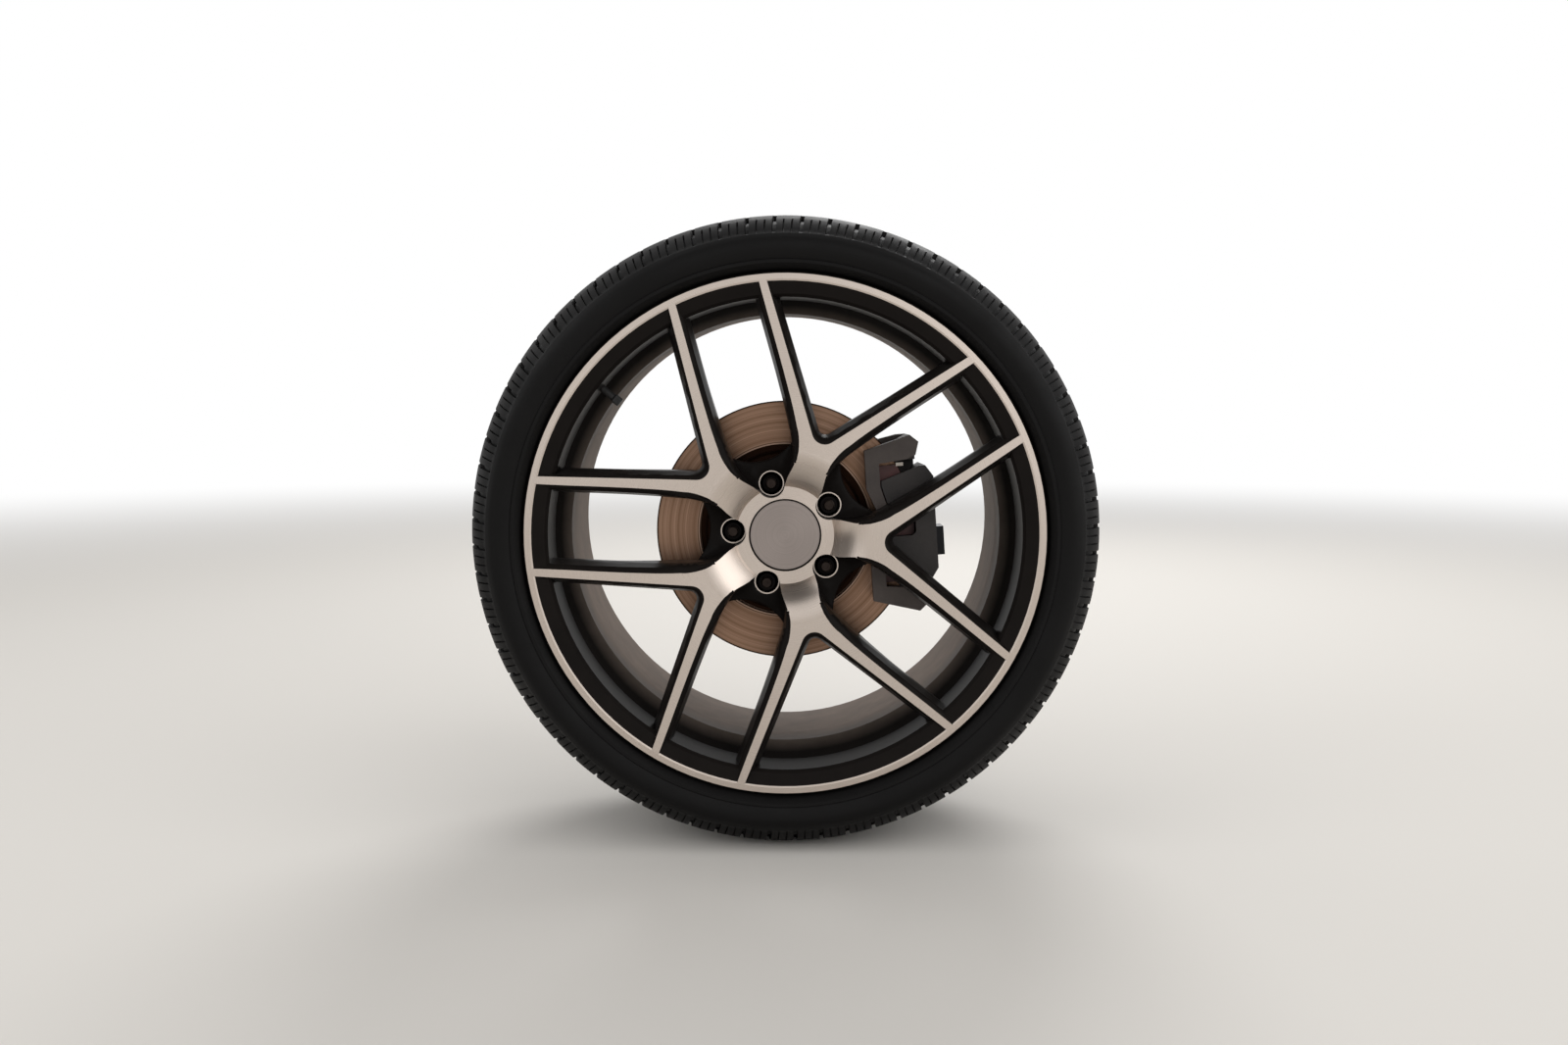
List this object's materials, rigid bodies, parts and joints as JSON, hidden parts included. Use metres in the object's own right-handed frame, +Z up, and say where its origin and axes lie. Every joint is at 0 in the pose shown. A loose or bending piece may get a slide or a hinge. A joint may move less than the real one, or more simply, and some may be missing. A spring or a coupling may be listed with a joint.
{
  "type": "rear wheel assembly with disc brake and belt pulley",
  "caption": "Wide low-profile tyre on a twin-spoke alloy wheel, with vented disc brake, hub in a flanged carrier and toothed belt pulley.",
  "frame": {"origin": "centre of the hub carrier's bolting face, on the wheel's axle", "axes": "+Y along the axle towards the vehicle, so the wheel's outer face looks along -Y; +Z up; +X towards the vehicle's rear"},
  "size_m": [0.673, 0.3855, 0.6728],
  "materials": {
    "tyre": "matte",
    "wheel_black": "satin",
    "wheel_machined": "machined, with satin black pockets",
    "cap_silver": "satin",
    "valve_rubber": "matte",
    "plastic_black": "matte",
    "steel": "turned",
    "disc_steel": "ground",
    "pulley_anodised": "black anodised",
    "zinc": "zinc plated",
    "carrier_black": "black powder coated",
    "bearing_steel": "ground",
    "iron_grey": "coated",
    "caliper_grey": "cast, coated",
    "union_black": "black anodised",
    "pad": "friction lining on a coated plate",
    "stud_steel": "plain",
    "nut_black": "black zinc"
  },
  "bodies": {
    "carrier": {"hub_carrier": "carrier_black", "bearing_outer": "bearing_steel", "bearing_inner": "bearing_steel", "caliper_bracket": "iron_grey", "caliper_housing": "caliper_grey", "line_union": "union_black", "brake_pad_outer": "pad", "brake_pad_inner": "pad", "guide_pin_upper": "zinc", "guide_pin_lower": "zinc", "bracket_bolt_upper": "zinc", "bracket_bolt_lower": "zinc"},
    "wheel": {"tyre": "tyre", "wheel_barrel": "wheel_black", "wheel_face": "wheel_machined", "centre_cap": "cap_silver", "valve_stem": "valve_rubber", "valve_cap": "plastic_black", "hub": "steel", "brake_disc": "disc_steel", "belt_pulley": "pulley_anodised", "axle_washer": "zinc", "axle_nut": "zinc", "wheel_stud_1": "stud_steel", "wheel_nut_1": "nut_black", "wheel_stud_2": "stud_steel", "wheel_nut_2": "nut_black", "wheel_stud_3": "stud_steel", "wheel_nut_3": "nut_black", "wheel_stud_4": "stud_steel", "wheel_nut_4": "nut_black", "wheel_stud_5": "stud_steel", "wheel_nut_5": "nut_black"}
  },
  "joints": [
    {"name": "wheel_spin", "type": "hinge", "parent": "carrier", "child": "wheel", "pos_m": [0, 0, 0], "axis": [0, 1, 0], "continuous": true}
  ]
}
